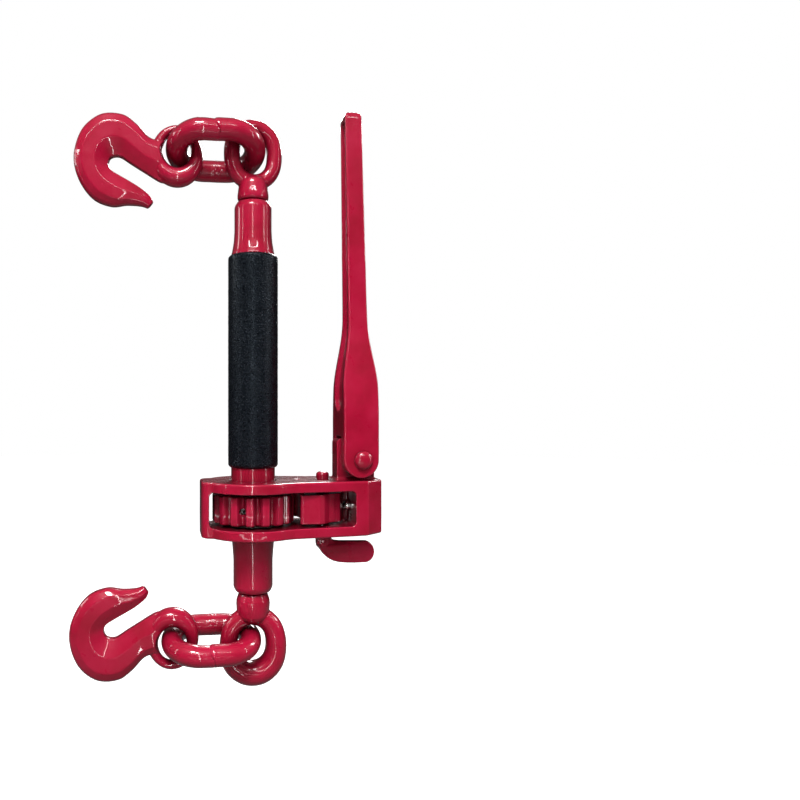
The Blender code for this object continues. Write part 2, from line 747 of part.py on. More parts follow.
def hook_origin(link_end, mirror):
    """Each hook hangs with the link's far end bend at the top of its hole."""
    drop = HOOK_HOLE[1] - LINK_R - HOOK_SLACK
    return (link_end[0] - LINK_SPAN + 0.2, link_end[1] - drop - mirror * HOOK_HOLE_RISE)


def build_all():
    paint = red_enamel()
    steel = plain_steel()
    bright = bright_steel()
    build_barrel(paint)
    build_grip(black_sleeve())
    build_gear(paint)
    build_gear_pin(steel)
    build_thrust_washer("upper_thrust_washer", GEAR_HALF + GAP, steel)
    build_thrust_washer("lower_thrust_washer", -WINDOW_HALF + GAP, steel)
    build_housing(paint)
    build_handle_pin(paint)
    build_detent_screw(steel)
    build_detent_spring(steel)
    build_detent_plunger(bright)
    build_pawl(paint)
    build_pawl_pin(steel)
    build_selector(paint)
    build_handle(paint)
    upper_ring = eye_ring(UPPER_EYE, UPPER_STRETCH, UPPER_EYE_WIRES, 1, UPPER_EYE_YAW)
    lower_ring = eye_ring(LOWER_EYE, LOWER_STRETCH, LOWER_EYE_WIRES, -1, LOWER_EYE_YAW)
    upper_collar_end = UPPER_EYE[1] - UPPER_COLLAR_DROP
    lower_collar_end = LOWER_EYE[1] + LOWER_COLLAR_DROP
    build_eyebolt("upper_eyebolt", upper_ring, upper_collar_end, BARREL_TOP, 1, paint)
    build_eyebolt("lower_eyebolt", lower_ring, lower_collar_end, BARREL_BOTTOM, -1, paint)
    build_link("upper_link", UPPER_LINK_END, UPPER_LINK_ROLL, paint)
    build_link("lower_link", LOWER_LINK_END, LOWER_LINK_ROLL, paint)
    build_hook("upper_hook", UPPER_LINK_END, 1, paint)
    build_hook("lower_hook", LOWER_LINK_END, -1, paint)
    for obj in bpy.data.objects:
        obj.location -= Vector(FRAME_CENTRE) * MM


for old in list(bpy.data.objects):
    bpy.data.objects.remove(old, do_unlink=True)
build_all()
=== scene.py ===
"""A red enamelled ratchet load binder in a pale studio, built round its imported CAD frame.

Shapes are drawn in millimetres from the barrel's axis and the middle of the ratchet gear (ORIGIN), with
+Z up the barrel and +X towards the handle, and are turned into metres of the CAD frame by to_mesh().
"""
import json
import math

import bmesh
import bpy
from mathutils import Matrix, Vector, noise


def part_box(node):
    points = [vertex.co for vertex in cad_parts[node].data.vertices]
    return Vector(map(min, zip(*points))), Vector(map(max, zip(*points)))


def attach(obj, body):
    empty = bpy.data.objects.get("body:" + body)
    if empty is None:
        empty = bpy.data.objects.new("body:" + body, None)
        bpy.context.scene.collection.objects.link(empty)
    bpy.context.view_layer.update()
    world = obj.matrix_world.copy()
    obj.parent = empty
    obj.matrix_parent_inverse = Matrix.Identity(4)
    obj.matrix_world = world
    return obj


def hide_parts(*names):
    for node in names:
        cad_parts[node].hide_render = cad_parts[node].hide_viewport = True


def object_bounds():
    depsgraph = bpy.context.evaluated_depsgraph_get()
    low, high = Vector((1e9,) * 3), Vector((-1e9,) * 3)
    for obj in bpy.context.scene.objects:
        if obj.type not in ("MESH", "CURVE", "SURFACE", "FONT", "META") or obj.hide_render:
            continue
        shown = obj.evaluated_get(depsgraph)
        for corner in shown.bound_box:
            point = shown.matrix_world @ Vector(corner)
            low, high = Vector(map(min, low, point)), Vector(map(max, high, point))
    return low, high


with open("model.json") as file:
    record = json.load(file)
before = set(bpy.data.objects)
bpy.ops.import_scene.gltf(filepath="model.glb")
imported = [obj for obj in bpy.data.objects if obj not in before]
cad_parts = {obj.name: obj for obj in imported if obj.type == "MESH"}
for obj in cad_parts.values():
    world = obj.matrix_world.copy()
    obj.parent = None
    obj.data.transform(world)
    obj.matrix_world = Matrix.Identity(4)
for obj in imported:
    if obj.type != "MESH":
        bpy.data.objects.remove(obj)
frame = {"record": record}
CAD_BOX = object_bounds()
RECORD = frame["record"]
JOINTS = {joint["name"]: joint for joint in RECORD["behaviour"]["joints"]}

MM = 0.001
GAP = 0.3


def centre_of(node):
    low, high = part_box(node)
    return (low + high) / 2


ORIGIN = Vector((centre_of("barrel").x, 0.0, centre_of("ratchet_gear").z))


def box_mm(node):
    """A CAD node's lowest and highest corners in the drawing's millimetres."""
    low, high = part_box(node)
    return (low - ORIGIN) / MM, (high - ORIGIN) / MM


def pivot_mm(joint):
    return (Vector(JOINTS[joint]["pos_m"]) - ORIGIN) / MM


BARREL_LOW, BARREL_HIGH = box_mm("barrel")
GRIP_LOW, GRIP_HIGH = box_mm("grip_sleeve")
GEAR_HIGH = box_mm("ratchet_gear")[1]
HOUSING_LOW, HOUSING_HIGH = box_mm("housing")
HANDLE_HIGH = box_mm("handle")[1]
LEVER_HIGH = box_mm("selector_lever")[1]
PLUNGER_LOW, PLUNGER_HIGH = box_mm("detent_plunger")
SET_SCREW_LOW = box_mm("detent_set_screw")[0]
HANDLE_PIVOT = pivot_mm("handle_fold")
PAWL_PIVOT = pivot_mm("selector_turn")
UPPER_END = pivot_mm("upper_link_swing")
LOWER_END = pivot_mm("lower_link_swing")
UPPER_FAR = pivot_mm("upper_hook_swing")
LOWER_FAR = pivot_mm("lower_hook_swing")

BARREL_R = BARREL_HIGH.x
BARREL_BORE_R = 9.9
GRIP_R = GRIP_HIGH.x
SCREW_R = 9.6
GEAR_R = 29.6
GEAR_ROOT_R = 25.4
TEETH = 16
PLATE_TOP = 19.7
WINDOW_HALF = 12.5
WINDOW_LEFT = -32.8
WINDOW_RIGHT = 71.8
TANG_HALF = 8.0
EAR_R = 12.9
EAR_HALF = HANDLE_HIGH.y
HANDLE_BORE_R = 5.3
SHAFT_R = 4.75
PAWL_SWING = math.radians(JOINTS["selector_turn"]["range_deg"][1])
LINK_R = 7.9
LINK_HALF_WIDTH = 20.0
THREAD_PITCH = 5.0
HOOK_EYE = (18.4, 22.2)
HOOK_EYE_RISE = 2.2
HOOK_HOLE = (10.15, 11.8)
HOOK_HOLE_RISE = 5.8
HOOK_HANG = 1.5
CHAIN_REACH = 0.14


# Mesh helpers

def angles(count, start=0.0):
    return [start + 2 * math.pi * i / count for i in range(count)]


def arc(cx, cy, rx, start_deg, end_deg, steps, ry=None):
    ry = rx if ry is None else ry
    points = []
    for i in range(steps + 1):
        a = math.radians(start_deg + (end_deg - start_deg) * i / steps)
        points.append((cx + rx * math.cos(a), cy + ry * math.sin(a)))
    return points


def smooth_share(share):
    share = min(max(share, 0.0), 1.0)
    return share * share * (3 - 2 * share)


def skin(bm, rings, closed=False):
    count = len(rings[0])
    pairs = list(zip(rings, rings[1:]))
    if closed:
        pairs.append((rings[-1], rings[0]))
    for a, b in pairs:
        for i in range(count):
            j = (i + 1) % count
            bm.faces.new((a[i], a[j], b[j], b[i]))
    if not closed:
        bm.faces.new(rings[0][::-1])
        bm.faces.new(rings[-1])
    return bm


def rounded(profile, radius=0.6, steps=3):
    """Round every inner corner of an open profile of points."""
    result = [profile[0]]
    for before, corner, after in zip(profile, profile[1:], profile[2:]):
        corner_v = Vector(corner)
        back = Vector(before) - corner_v
        ahead = Vector(after) - corner_v
        reach = min(radius, back.length * 0.45, ahead.length * 0.45)
        start = corner_v + back.normalized() * reach
        end = corner_v + ahead.normalized() * reach
        for step in range(steps + 1):
            t = step / steps
            point = start * (1 - t) ** 2 + corner_v * 2 * t * (1 - t) + end * t ** 2
            result.append((point.x, point.y))
    result.append(profile[-1])
    return result


def turned(profile, sides=96, bore=None):
    """A solid of revolution about Z from (radius, z) points; with a bore radius it is a tube."""
    bm = bmesh.new()
    points = list(profile)
    if bore is not None:
        points += [(bore, profile[-1][1]), (bore, profile[0][1])]
    rings = []
    for radius, z in points:
        rings.append([bm.verts.new((radius * math.cos(a), radius * math.sin(a), z)) for a in angles(sides)])
    return skin(bm, rings, closed=bore is not None)


def prism(outline, low, high):
    bm = bmesh.new()
    rings = [[bm.verts.new((x, y, z)) for x, y in outline] for z in (low, high)]
    return skin(bm, rings)


def moved(bm, matrix):
    bmesh.ops.transform(bm, matrix=matrix, verts=bm.verts)
    return bm


def at(x, y, z):
    return Matrix.Translation((x, y, z))


def along_x(x, y, z):
    return at(x, y, z) @ Matrix.Rotation(math.radians(90), 4, "Y")


def along_y(x, y, z):
    return at(x, y, z) @ Matrix.Rotation(math.radians(-90), 4, "X")


def upright(outline, low, high):
    """A prism drawn in X and Z that runs from y = low to y = high."""
    swap = Matrix(((1, 0, 0, 0), (0, 0, 1, 0), (0, 1, 0, 0), (0, 0, 0, 1)))
    return moved(prism(outline, low, high), swap)


def tube(path, radius_at, sides=40, closed=False, flat=1.0):
    """A tube along a path; radius_at(i, angle) gives its radius, and flat scales it along Y."""
    bm = bmesh.new()
    count = len(path)
    rings = []
    normal = None
    for i, point in enumerate(path):
        ahead = path[(i + 1) % count] if closed or i + 1 < count else point
        behind = path[i - 1] if closed or i > 0 else point
        tangent = (ahead - behind).normalized()
        if normal is None:
            normal = tangent.orthogonal().normalized()
        normal = (normal - tangent * normal.dot(tangent)).normalized()
        across = tangent.cross(normal)
        ring = []
        for a in angles(sides):
            offset = (normal * math.cos(a) + across * math.sin(a)) * radius_at(i, a)
            offset.y *= flat
            ring.append(bm.verts.new(point + offset))
        rings.append(ring)
    return skin(bm, rings, closed=closed)


def to_mesh(bm):
    """Millimetres round ORIGIN to metres in the CAD frame, with faces outwards."""
    bmesh.ops.scale(bm, vec=(MM, MM, MM), verts=bm.verts)
    bmesh.ops.translate(bm, vec=ORIGIN, verts=bm.verts)
    bmesh.ops.recalc_face_normals(bm, faces=bm.faces)
    mesh = bpy.data.meshes.new("shape")
    bm.to_mesh(mesh)
    bm.free()
    return mesh


def helper(mesh):
    obj = bpy.data.objects.new("helper", mesh)
    bpy.context.collection.objects.link(obj)
    return obj


def baked(obj):
    depsgraph = bpy.context.evaluated_depsgraph_get()
    return bpy.data.meshes.new_from_object(obj.evaluated_get(depsgraph))


def less(shell, tools):
    """A shell with the tools' volumes cut away, as a mesh in metres."""
    base = helper(to_mesh(shell))
    for tool in tools:
        cut = base.modifiers.new("Cut", "BOOLEAN")
        cut.operation = "DIFFERENCE"
        cut.solver = "EXACT"
        cut.object = tool
    mesh = baked(base)
    bpy.data.objects.remove(base)
    return mesh


def forged(shells, cutters=(), voxel=0.55, relax=6, uneven=0.0, kept=()):
    """One solid from overlapping shells less the cutters, plus what is kept whole, with small fillets."""
    tools = [helper(to_mesh(bm)) for bm in cutters]
    whole = bmesh.new()
    for shell in shells:
        mesh = less(shell, tools)
        whole.from_mesh(mesh)
        bpy.data.meshes.remove(mesh)
    for shell in kept:
        mesh = to_mesh(shell)
        whole.from_mesh(mesh)
        bpy.data.meshes.remove(mesh)
    mesh = bpy.data.meshes.new("whole")
    whole.to_mesh(mesh)
    whole.free()
    base = helper(mesh)
    mod = base.modifiers.new("Remesh", "REMESH")
    mod.mode = "VOXEL"
    mod.voxel_size = voxel * MM * 1.0
    if relax:
        ease = base.modifiers.new("Ease", "SMOOTH")
        ease.factor = 0.5
        ease.iterations = relax
    mesh = baked(base)
    for obj in [base] + tools:
        bpy.data.objects.remove(obj)
    if uneven:
        roughen(mesh, uneven)
    return mesh


def roughen(mesh, height):
    """The slight unevenness of a forging under paint."""
    normals = [vertex.normal.copy() for vertex in mesh.vertices]
    places = [vertex.co.copy() for vertex in mesh.vertices]
    flat = []
    for p, n in zip(places, normals):
        lift = noise.noise(p * 90) + 0.45 * noise.noise(p * 260)
        flat.extend(p + n * (lift * height * MM))
    mesh.vertices.foreach_set("co", flat)
    mesh.update()


def keep_inside(mesh):
    """Unevenness never reaches past the object's own box."""
    low, high = CAD_BOX
    flat = []
    for vertex in mesh.vertices:
        flat.extend(min(max(value, low[i]), high[i]) for i, value in enumerate(vertex.co))
    mesh.vertices.foreach_set("co", flat)
    mesh.update()


def add(name, mesh, body, mat, *nodes, sharp=None):
    """A finished piece on a CAD body; it stands for the CAD nodes named."""
    keep_inside(mesh)
    mesh.materials.clear()
    mesh.materials.append(mat)
    mesh.shade_smooth()
    if sharp is not None:
        mesh.set_sharp_from_angle(angle=math.radians(sharp))
    mesh.name = name
    obj = bpy.data.objects.new(name, mesh)
    bpy.context.collection.objects.link(obj)
    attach(obj, body)
    if nodes:
        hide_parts(*nodes)
    return obj


# Materials

class Nodes:
    """Short names for making and joining shader nodes."""

    def __init__(self, name, slot):
        self.mat = bpy.data.materials.new(name)
        self.mat.use_nodes = True
        self.mat["slot"] = slot
        self.tree = self.mat.node_tree
        self.shader = self.tree.nodes["Principled BSDF"]
        self.where = self.node("ShaderNodeTexCoord").outputs["Object"]

    def node(self, kind, **settings):
        made = self.tree.nodes.new(kind)
        for key, value in settings.items():
            setattr(made, key, value)
        return made

    def link(self, source, target):
        self.tree.links.new(source, target)

    def set(self, **values):
        for key, value in values.items():
            self.shader.inputs[key.replace("_", " ")].default_value = value

    def noise(self, scale, detail=3.0, rough=0.5, vector=None):
        made = self.node("ShaderNodeTexNoise")
        made.inputs["Scale"].default_value = scale
        made.inputs["Detail"].default_value = detail
        made.inputs["Roughness"].default_value = rough
        self.link(vector or self.where, made.inputs["Vector"])
        return made.outputs["Fac"]

    def spread(self, value, low, high, to_low, to_high):
        made = self.node("ShaderNodeMapRange")
        for key, number in (("From Min", low), ("From Max", high), ("To Min", to_low), ("To Max", to_high)):
            made.inputs[key].default_value = number
        self.link(value, made.inputs["Value"])
        return made.outputs["Result"]

    def ramp(self, value, *stops):
        made = self.node("ShaderNodeValToRGB")
        while len(made.color_ramp.elements) < len(stops):
            made.color_ramp.elements.new(0.5)
        for element, (place, colour) in zip(made.color_ramp.elements, stops):
            element.position = place
            element.color = (*colour, 1.0)
        self.link(value, made.inputs["Fac"])
        return made.outputs["Color"]

    def mix(self, share, a, b, blend="MIX"):
        made = self.node("ShaderNodeMix", data_type="RGBA", blend_type=blend)
        for value, slot in ((share, 0), (a, 6), (b, 7)):
            if isinstance(value, (int, float)):
                made.inputs[slot].default_value = value
            elif isinstance(value, tuple):
                made.inputs[slot].default_value = (*value, 1.0)
            else:
                self.link(value, made.inputs[slot])
        return made.outputs[2]

    def bump(self, height, strength, distance, before=None):
        made = self.node("ShaderNodeBump")
        made.inputs["Strength"].default_value = strength
        made.inputs["Distance"].default_value = distance
        self.link(height, made.inputs["Height"])
        if before is not None:
            self.link(before, made.inputs["Normal"])
        return made.outputs["Normal"]


def enamel():
    """Glossy crimson candy enamel over a forging, with painted shade in hollows and at a glance, and edges
    painted pinker for thinner paint and as a painted highlight.
    """
    m = Nodes("red_enamel_paint", "red_enamel")
    # The darkest red is painted shade, mixed in at hollows and at grazing views.
    painted_shade_red = (0.100, 0.0010, 0.007)
    deep = (0.270, 0.0030, 0.015)
    main = (0.430, 0.0055, 0.036)
    light = (0.560, 0.020, 0.075)
    cloud = m.ramp(m.noise(38, 4, 0.55), (0.30, deep), (0.52, main), (0.85, light))
    base = m.mix(0.55, main, cloud)
    edge = m.node("ShaderNodeNewGeometry").outputs["Pointiness"]
    # Convex edges are painted pinker: partly thinner paint on the edges, partly a painted highlight.
    base = m.mix(m.spread(edge, 0.505, 0.56, 0.0, 0.55), base, light)
    # Creases are painted darker: partly paint pooled in them, partly painted shade.
    base = m.mix(m.spread(edge, 0.495, 0.43, 0.0, 0.75), base, deep)
    speck = m.spread(m.noise(2600, 2, 0.5), 0.70, 0.76, 0.0, 0.35)
    base = m.mix(speck, base, (0.16, 0.002, 0.008))
    # Surfaces seen at a glance are painted darker: painted shade standing in for dark reflections.
    painted_glance_shade = m.node("ShaderNodeLayerWeight")
    painted_glance_shade.inputs["Blend"].default_value = 0.5
    base = m.mix(m.spread(painted_glance_shade.outputs["Facing"], 0.30, 0.95, 0.0, 0.72), base, painted_shade_red)
    # Occluded hollows, creases and gaps between parts are painted darker: painted shade.
    painted_hollow_shade = m.node("ShaderNodeAmbientOcclusion", samples=4)
    painted_hollow_shade.inputs["Distance"].default_value = 0.022
    base = m.mix(m.spread(painted_hollow_shade.outputs["AO"], 0.90, 0.20, 0.0, 0.92), base, painted_shade_red)
    m.link(base, m.shader.inputs["Base Color"])
    m.link(m.spread(m.noise(120, 4), 0.3, 0.7, 0.26, 0.40), m.shader.inputs["Roughness"])
    m.set(Metallic=0.0, Coat_Weight=0.85, Coat_Roughness=0.045, Specular_IOR_Level=0.16)
    peel = m.bump(m.noise(900, 2, 0.5), 0.16, 0.0003)
    forging = m.bump(m.noise(210, 5, 0.6), 0.30, 0.0005, before=peel)
    m.link(forging, m.shader.inputs["Normal"])
    return m.mat


def sleeve_rubber():
    """Black moulded sleeve with a leathery pebble, with a painted highlight on the grains' tops and painted
    glint specks.
    """
    m = Nodes("black_pebbled_sleeve", "black_sleeve")
    cells = m.node("ShaderNodeTexVoronoi", feature="F1")
    cells.inputs["Scale"].default_value = 760
    cells.inputs["Randomness"].default_value = 1.0
    m.link(m.where, cells.inputs["Vector"])
    grain = cells.outputs["Distance"]
    fine = m.noise(2400, 3)
    top = m.spread(grain, 0.05, 0.45, 1.0, 0.0)
    # The grains' tops are painted lighter than their sides: a painted highlight on each pebble.
    colour = m.ramp(top, (0.0, (0.0008, 0.0014, 0.0030)), (1.0, (0.0030, 0.0050, 0.0095)))
    # Scattered lighter bluish specks are painted glints.
    painted_glint_specks = m.spread(m.noise(1700, 1), 0.63, 0.70, 0.0, 0.75)
    colour = m.mix(painted_glint_specks, colour, (0.030, 0.039, 0.055))
    m.link(colour, m.shader.inputs["Base Color"])
    m.link(m.spread(m.noise(900, 3), 0.35, 0.65, 0.22, 0.50), m.shader.inputs["Roughness"])
    m.set(Metallic=0.0, Specular_IOR_Level=0.26, Specular_Tint=(0.72, 0.88, 1.0, 1.0))
    pebble = m.bump(top, 1.0, 0.00055)
    m.link(m.bump(fine, 0.25, 0.0002, before=pebble), m.shader.inputs["Normal"])
    return m.mat


def steel(name, slot, colour, rough, scratch_axis):
    """Steel with fine turning marks, faint stains and a little smudging."""
    m = Nodes(name, slot)
    mapping = m.node("ShaderNodeMapping")
    mapping.inputs["Scale"].default_value = scratch_axis
    m.link(m.where, mapping.inputs["Vector"])
    lines = m.noise(420, 5, 0.6, vector=mapping.outputs["Vector"])
    stain = m.noise(240, 4)
    dark = tuple(c * 0.55 for c in colour)
    m.link(m.mix(m.spread(stain, 0.42, 0.75, 0.0, 0.7), colour, dark), m.shader.inputs["Base Color"])
    m.link(m.spread(lines, 0.3, 0.7, rough * 0.75, rough * 1.4), m.shader.inputs["Roughness"])
    m.set(Metallic=1.0)
    m.link(m.bump(lines, 0.25, 0.00012), m.shader.inputs["Normal"])
    return m.mat


RED = enamel()
SLEEVE = sleeve_rubber()
BRIGHT = steel("bright_ground_steel", "bright_steel", (0.72, 0.71, 0.69), 0.20, (5.0, 1.0, 1.0))
# The washers' steel is painted darker than the plain steel: painted shade for washers that sit in shade under
# the gear.
SHADE_DARKENED_STEEL = steel("shade_darkened_steel", "plain_steel", (0.10, 0.095, 0.09), 0.45, (1.0, 1.0, 6.0))
STEEL = steel("plain_turned_steel", "plain_steel", (0.34, 0.33, 0.32), 0.36, (1.0, 1.0, 6.0))


# Barrel group

def build_barrel():
    low = BARREL_LOW.z
    high = BARREL_HIGH.z
    foot = 14.3
    top = 13.5
    profile = [
        (BARREL_BORE_R, low), (foot - 1.9, low), (foot, low + 3.4), (foot, -37.0), (foot + 0.8, -27.0),
        (BARREL_R, -18.0), (BARREL_R, GRIP_HIGH.z + 0.5), (BARREL_R - 0.7, GRIP_HIGH.z + 3.0),
        (top + 0.5, 192.0), (top, 200.0), (top, high - 3.4), (top - 2.2, high),
        (BARREL_BORE_R, high),
    ]
    profile = rounded(profile, 1.6, 4)
    barrel = turned(profile[1:-1], sides=128, bore=BARREL_BORE_R)
    add("barrel_tube", to_mesh(barrel), "barrel", RED, "barrel", sharp=40)


def build_grip():
    """The sleeve, with soft moulded unevenness in its surface and rolled ends."""
    low = GRIP_LOW.z
    high = GRIP_HIGH.z
    sides = 150
    rows = 190
    bm = bmesh.new()
    rings = []
    for row in range(rows + 1):
        share = row / rows
        z = low + (high - low) * share
        end = min(z - low, high - z)
        base = GRIP_R - 0.15 - 1.5 * (1 - min(end / 2.2, 1.0)) ** 2
        ring = []
        for a in angles(sides):
            p = Vector((base * math.cos(a), base * math.sin(a), z))
            grain = noise.cell(p * 0.9) * 0.05 + noise.noise(p * 0.8) * 0.09
            r = base + min(grain, 0.14)
            ring.append(bm.verts.new((r * math.cos(a), r * math.sin(a), z)))
        rings.append(ring)
    for z in (high, low):
        inner = BARREL_R + GAP
        rings.append([bm.verts.new((inner * math.cos(a), inner * math.sin(a), z)) for a in angles(sides)])
    skin(bm, rings, closed=True)
    add("grip_pebbled_sleeve", to_mesh(bm), "barrel", SLEEVE, "grip_sleeve", sharp=50)


def gear_radius(a):
    """Radius of the gear's outline: flat-topped teeth between scooped valleys."""
    pitch = 2 * math.pi / TEETH
    off = abs((a / pitch + 0.5) % 1.0 - 0.5) / 0.27
    if off >= 1.0:
        crown = (off - 1.0) / (0.5 / 0.27 - 1.0)
        return GEAR_R - 0.22 * (1 - min(crown * 3, 1.0)) ** 2
    return GEAR_R - 0.22 - (GEAR_R - 0.22 - GEAR_ROOT_R) * math.cos(off * math.pi / 2) ** 0.8


def build_gear():
    half = GEAR_HIGH.z
    count = TEETH * 20
    bm = bmesh.new()
    rings = []
    edge = [(2.6, half), (1.3, half - 0.12), (0.55, half - 0.45), (0.15, half - 0.95), (0.0, half - 1.6)]
    levels = [(inset, -z) for inset, z in edge] + [(inset, z) for inset, z in reversed(edge)]
    for inset, z in levels:
        ring = []
        for a in angles(count):
            r = gear_radius(a) - inset
            ring.append(bm.verts.new((r * math.cos(a), r * math.sin(a), z)))
        rings.append(ring)
    for z in (half, -half):
        inner = BARREL_R + GAP
        rings.append([bm.verts.new((inner * math.cos(a), inner * math.sin(a), z)) for a in angles(count)])
    skin(bm, rings, closed=True)
    hole = turned([(2.4, 0), (2.4, 24.0)], sides=32)
    moved(hole, gear_pin_matrix(7.0))
    tool = helper(to_mesh(hole))
    mesh = less(bm, [tool])
    bpy.data.objects.remove(tool)
    add("ratchet_gear_wheel", mesh, "barrel", RED, "ratchet_gear", sharp=32)


def gear_pin_matrix(start):
    turn = Matrix.Rotation(math.radians(-90.0) - 2 * math.pi / TEETH, 4, "Z")
    return turn @ along_x(start, 0, 0)


def build_gear_pin():
    """A rolled spring pin, open along one side."""
    bm = bmesh.new()
    outline = arc(0, 0, 2.1, 20, 340, 32) + arc(0, 0, 1.25, 340, 20, 32)
    rings = []
    for inset, z in ((0.25, 0), (0.0, 0.5), (0.0, 12.3), (0.25, 12.8)):
        scale = 1 - inset / 2.1
        rings.append([bm.verts.new((x * scale, y * scale, z)) for x, y in outline])
    skin(bm, rings)
    moved(bm, gear_pin_matrix(11.0))
    add("gear_spring_pin", to_mesh(bm), "barrel", STEEL, "gear_roll_pin", sharp=35)


def build_washer(node):
    low, high = box_mm(node)
    r = high.x
    profile = rounded([(16.6, low.z), (r, low.z), (r, high.z), (16.6, high.z)], 0.4, 3)
    washer = turned(profile, sides=96, bore=BARREL_R + GAP)
    # The washers take the darkened steel, painted shade.
    add(node + "_ring", to_mesh(washer), "thrust_washers", SHADE_DARKENED_STEEL, node, sharp=35)


# Housing group

def housing_outline(grow=0.0):
    """Plan of the head: round hub, straight waist and a nose with flat-cut corners."""
    right = HOUSING_HIGH.x
    left = HOUSING_LOW.x
    upper = arc(right - 2.5, 7.0, 2.5, 0, 56, 6) + arc(79.5, 15.6, 3.4, 60, 88, 6)
    upper += [(26.0, 26.4)]
    upper += arc(0, 0, 35.0, 56, 150, 60)
    upper += arc(left + 8.0, 10.0, 8.0, 120, 180, 12)
    outline = upper + [(x, -y) for x, y in reversed(upper)]
    return [(x * (1 + grow / 60), y * (1 + grow / 30)) for x, y in outline]


def box_outline(x0, x1, z0, z1, radius, steps=8):
    points = arc(x1 - radius, z1 - radius, radius, 0, 90, steps)
    points += arc(x0 + radius, z1 - radius, radius, 90, 180, steps)
    points += arc(x0 + radius, z0 + radius, radius, 180, 270, steps)
    points += arc(x1 - radius, z0 + radius, radius, 270, 360, steps)
    return points


def plate_body():
    """The head's outline between eased top and bottom edges."""
    bm = bmesh.new()
    rings = []
    edge = [(-1.15, 0.0), (-0.55, 0.16), (-0.16, 0.60), (0.0, 1.35)]
    levels = [(grow, -PLATE_TOP + drop) for grow, drop in edge]
    levels += [(grow, PLATE_TOP - drop) for grow, drop in reversed(edge)]
    for grow, z in levels:
        rings.append([bm.verts.new((x, y, z)) for x, y in housing_outline(grow)])
    return skin(bm, rings)


def tang_outline():
    top = HANDLE_PIVOT.z + 15.2
    right = 88.4
    points = [(60.5, 15.0), (right, 15.0), (right, HANDLE_PIVOT.z)]
    points += arc(HANDLE_PIVOT.x, HANDLE_PIVOT.z, right - HANDLE_PIVOT.x, 6, 90, 20, ry=15.2)
    points += arc(64.0, top - 3.5, 3.5, 90, 180, 6)
    return points


def build_housing():
    window = box_outline(WINDOW_LEFT, WINDOW_RIGHT, -WINDOW_HALF, WINDOW_HALF, 3.2)
    back_wall = box_outline(67.9, WINDOW_RIGHT + 4, -WINDOW_HALF - 2, WINDOW_HALF + 2, 1.0)
    oil_hole = moved(turned([(1.6, 0), (1.6, 40)], sides=32), at(33.0, 0, 0))
    bore = turned([(BARREL_R + GAP, -60), (BARREL_R + GAP, 60)], sides=128)
    shaft = moved(turned([(SHAFT_R + GAP, -60), (SHAFT_R + GAP, 60)], sides=64), at(PAWL_PIVOT.x, 0, 0))
    pin = turned([(HANDLE_BORE_R, -20), (HANDLE_BORE_R, 20)], sides=64)
    moved(pin, along_y(HANDLE_PIVOT.x, 0, HANDLE_PIVOT.z))
    detent = moved(turned([(3.9, 0), (3.9, 40)], sides=48), along_x(66.0, 0, 0))
    thread = moved(turned([(4.6, 0), (4.6, 10)], sides=48), along_x(SET_SCREW_LOW.x - GAP, 0, 0))
    foot = [(57.5, 18.5), (91.0, 18.5), (89.4, 20.0), (88.4, 21.1), (60.5, 21.1), (59.4, 20.0)]
    shells = [plate_body(), upright(tang_outline(), -TANG_HALF, TANG_HALF)]
    shells.append(upright(foot, -TANG_HALF - 1.2, TANG_HALF + 1.2))
    cutters = [upright(window, -50, 50), bore, shaft, pin, detent, thread, oil_hole]
    mesh = forged(shells, cutters, voxel=0.5, relax=4, uneven=0.06, kept=[upright(back_wall, 5.0, 15.5)])
    add("ratchet_head", mesh, "housing", RED, "housing")


def build_handle_pin():
    low, high = box_mm("handle_pin")
    reach = high.y - 4.2
    dome = [(6.5, 0), (6.5, 0.9)] + arc(0, 0.9, 6.5, 8, 82, 14, ry=3.25)
    profile = [(r, -reach - h) for r, h in reversed(dome)] + [(5.0, -reach + 0.2), (5.0, reach - 0.2)]
    profile += [(r, reach + h) for r, h in dome]
    pin = moved(turned(profile, sides=64), along_y(HANDLE_PIVOT.x, 0, HANDLE_PIVOT.z))
    add("handle_rivet", to_mesh(pin), "housing", RED, "handle_pin", sharp=50)


def build_detent():
    nose = PLUNGER_LOW.x + 3.6
    length = PLUNGER_HIGH.x - nose
    profile = rounded([(0.4, 0), (3.6, 0), (3.6, length)], 0.4, 3)[:-1]
    profile += arc(0, length, 3.6, 0, 86, 14)
    turn = at(PLUNGER_HIGH.x, 0, 0) @ Matrix.Rotation(math.radians(-90), 4, "Y")
    add("detent_round_plunger", to_mesh(moved(turned(profile, sides=64), turn)), "detent", BRIGHT,
        "detent_plunger", sharp=35)
    low, high = box_mm("detent_spring")
    wire = 0.42
    steps = 150
    path = []
    for i in range(steps + 1):
        a = 2 * math.pi * 5 * i / steps
        x = low.x + wire + (high.x - low.x - 2 * wire) * i / steps
        path.append(Vector((x, 2.7 * math.cos(a), 2.7 * math.sin(a))))
    coil = tube(path, lambda i, a: wire, sides=12)
    add("detent_coil_spring", to_mesh(coil), "housing", STEEL, "detent_spring")
    profile = rounded([(0.3, 0), (4.3, 0), (4.3, 4.8), (0.3, 4.8)], 0.5, 3)
    plug = moved(turned(profile, sides=64), along_x(SET_SCREW_LOW.x, 0, 0))
    socket = moved(turned([(2.5, 0), (2.5, 4.0)], sides=6), along_x(SET_SCREW_LOW.x + 2.2, 0, 0))
    mesh = forged([plug], [socket], voxel=0.16, relax=2)
    add("detent_socket_screw", mesh, "housing", STEEL, "detent_set_screw")


# Pawl group

def pawl_back(a):
    off = min(abs(a), abs(a - PAWL_SWING))
    nose = 3.9
    reach = 17.7
    notch = reach * math.cos(off) - math.sqrt(nose ** 2 - (reach * math.sin(off)) ** 2)
    return min(notch, 14.5)


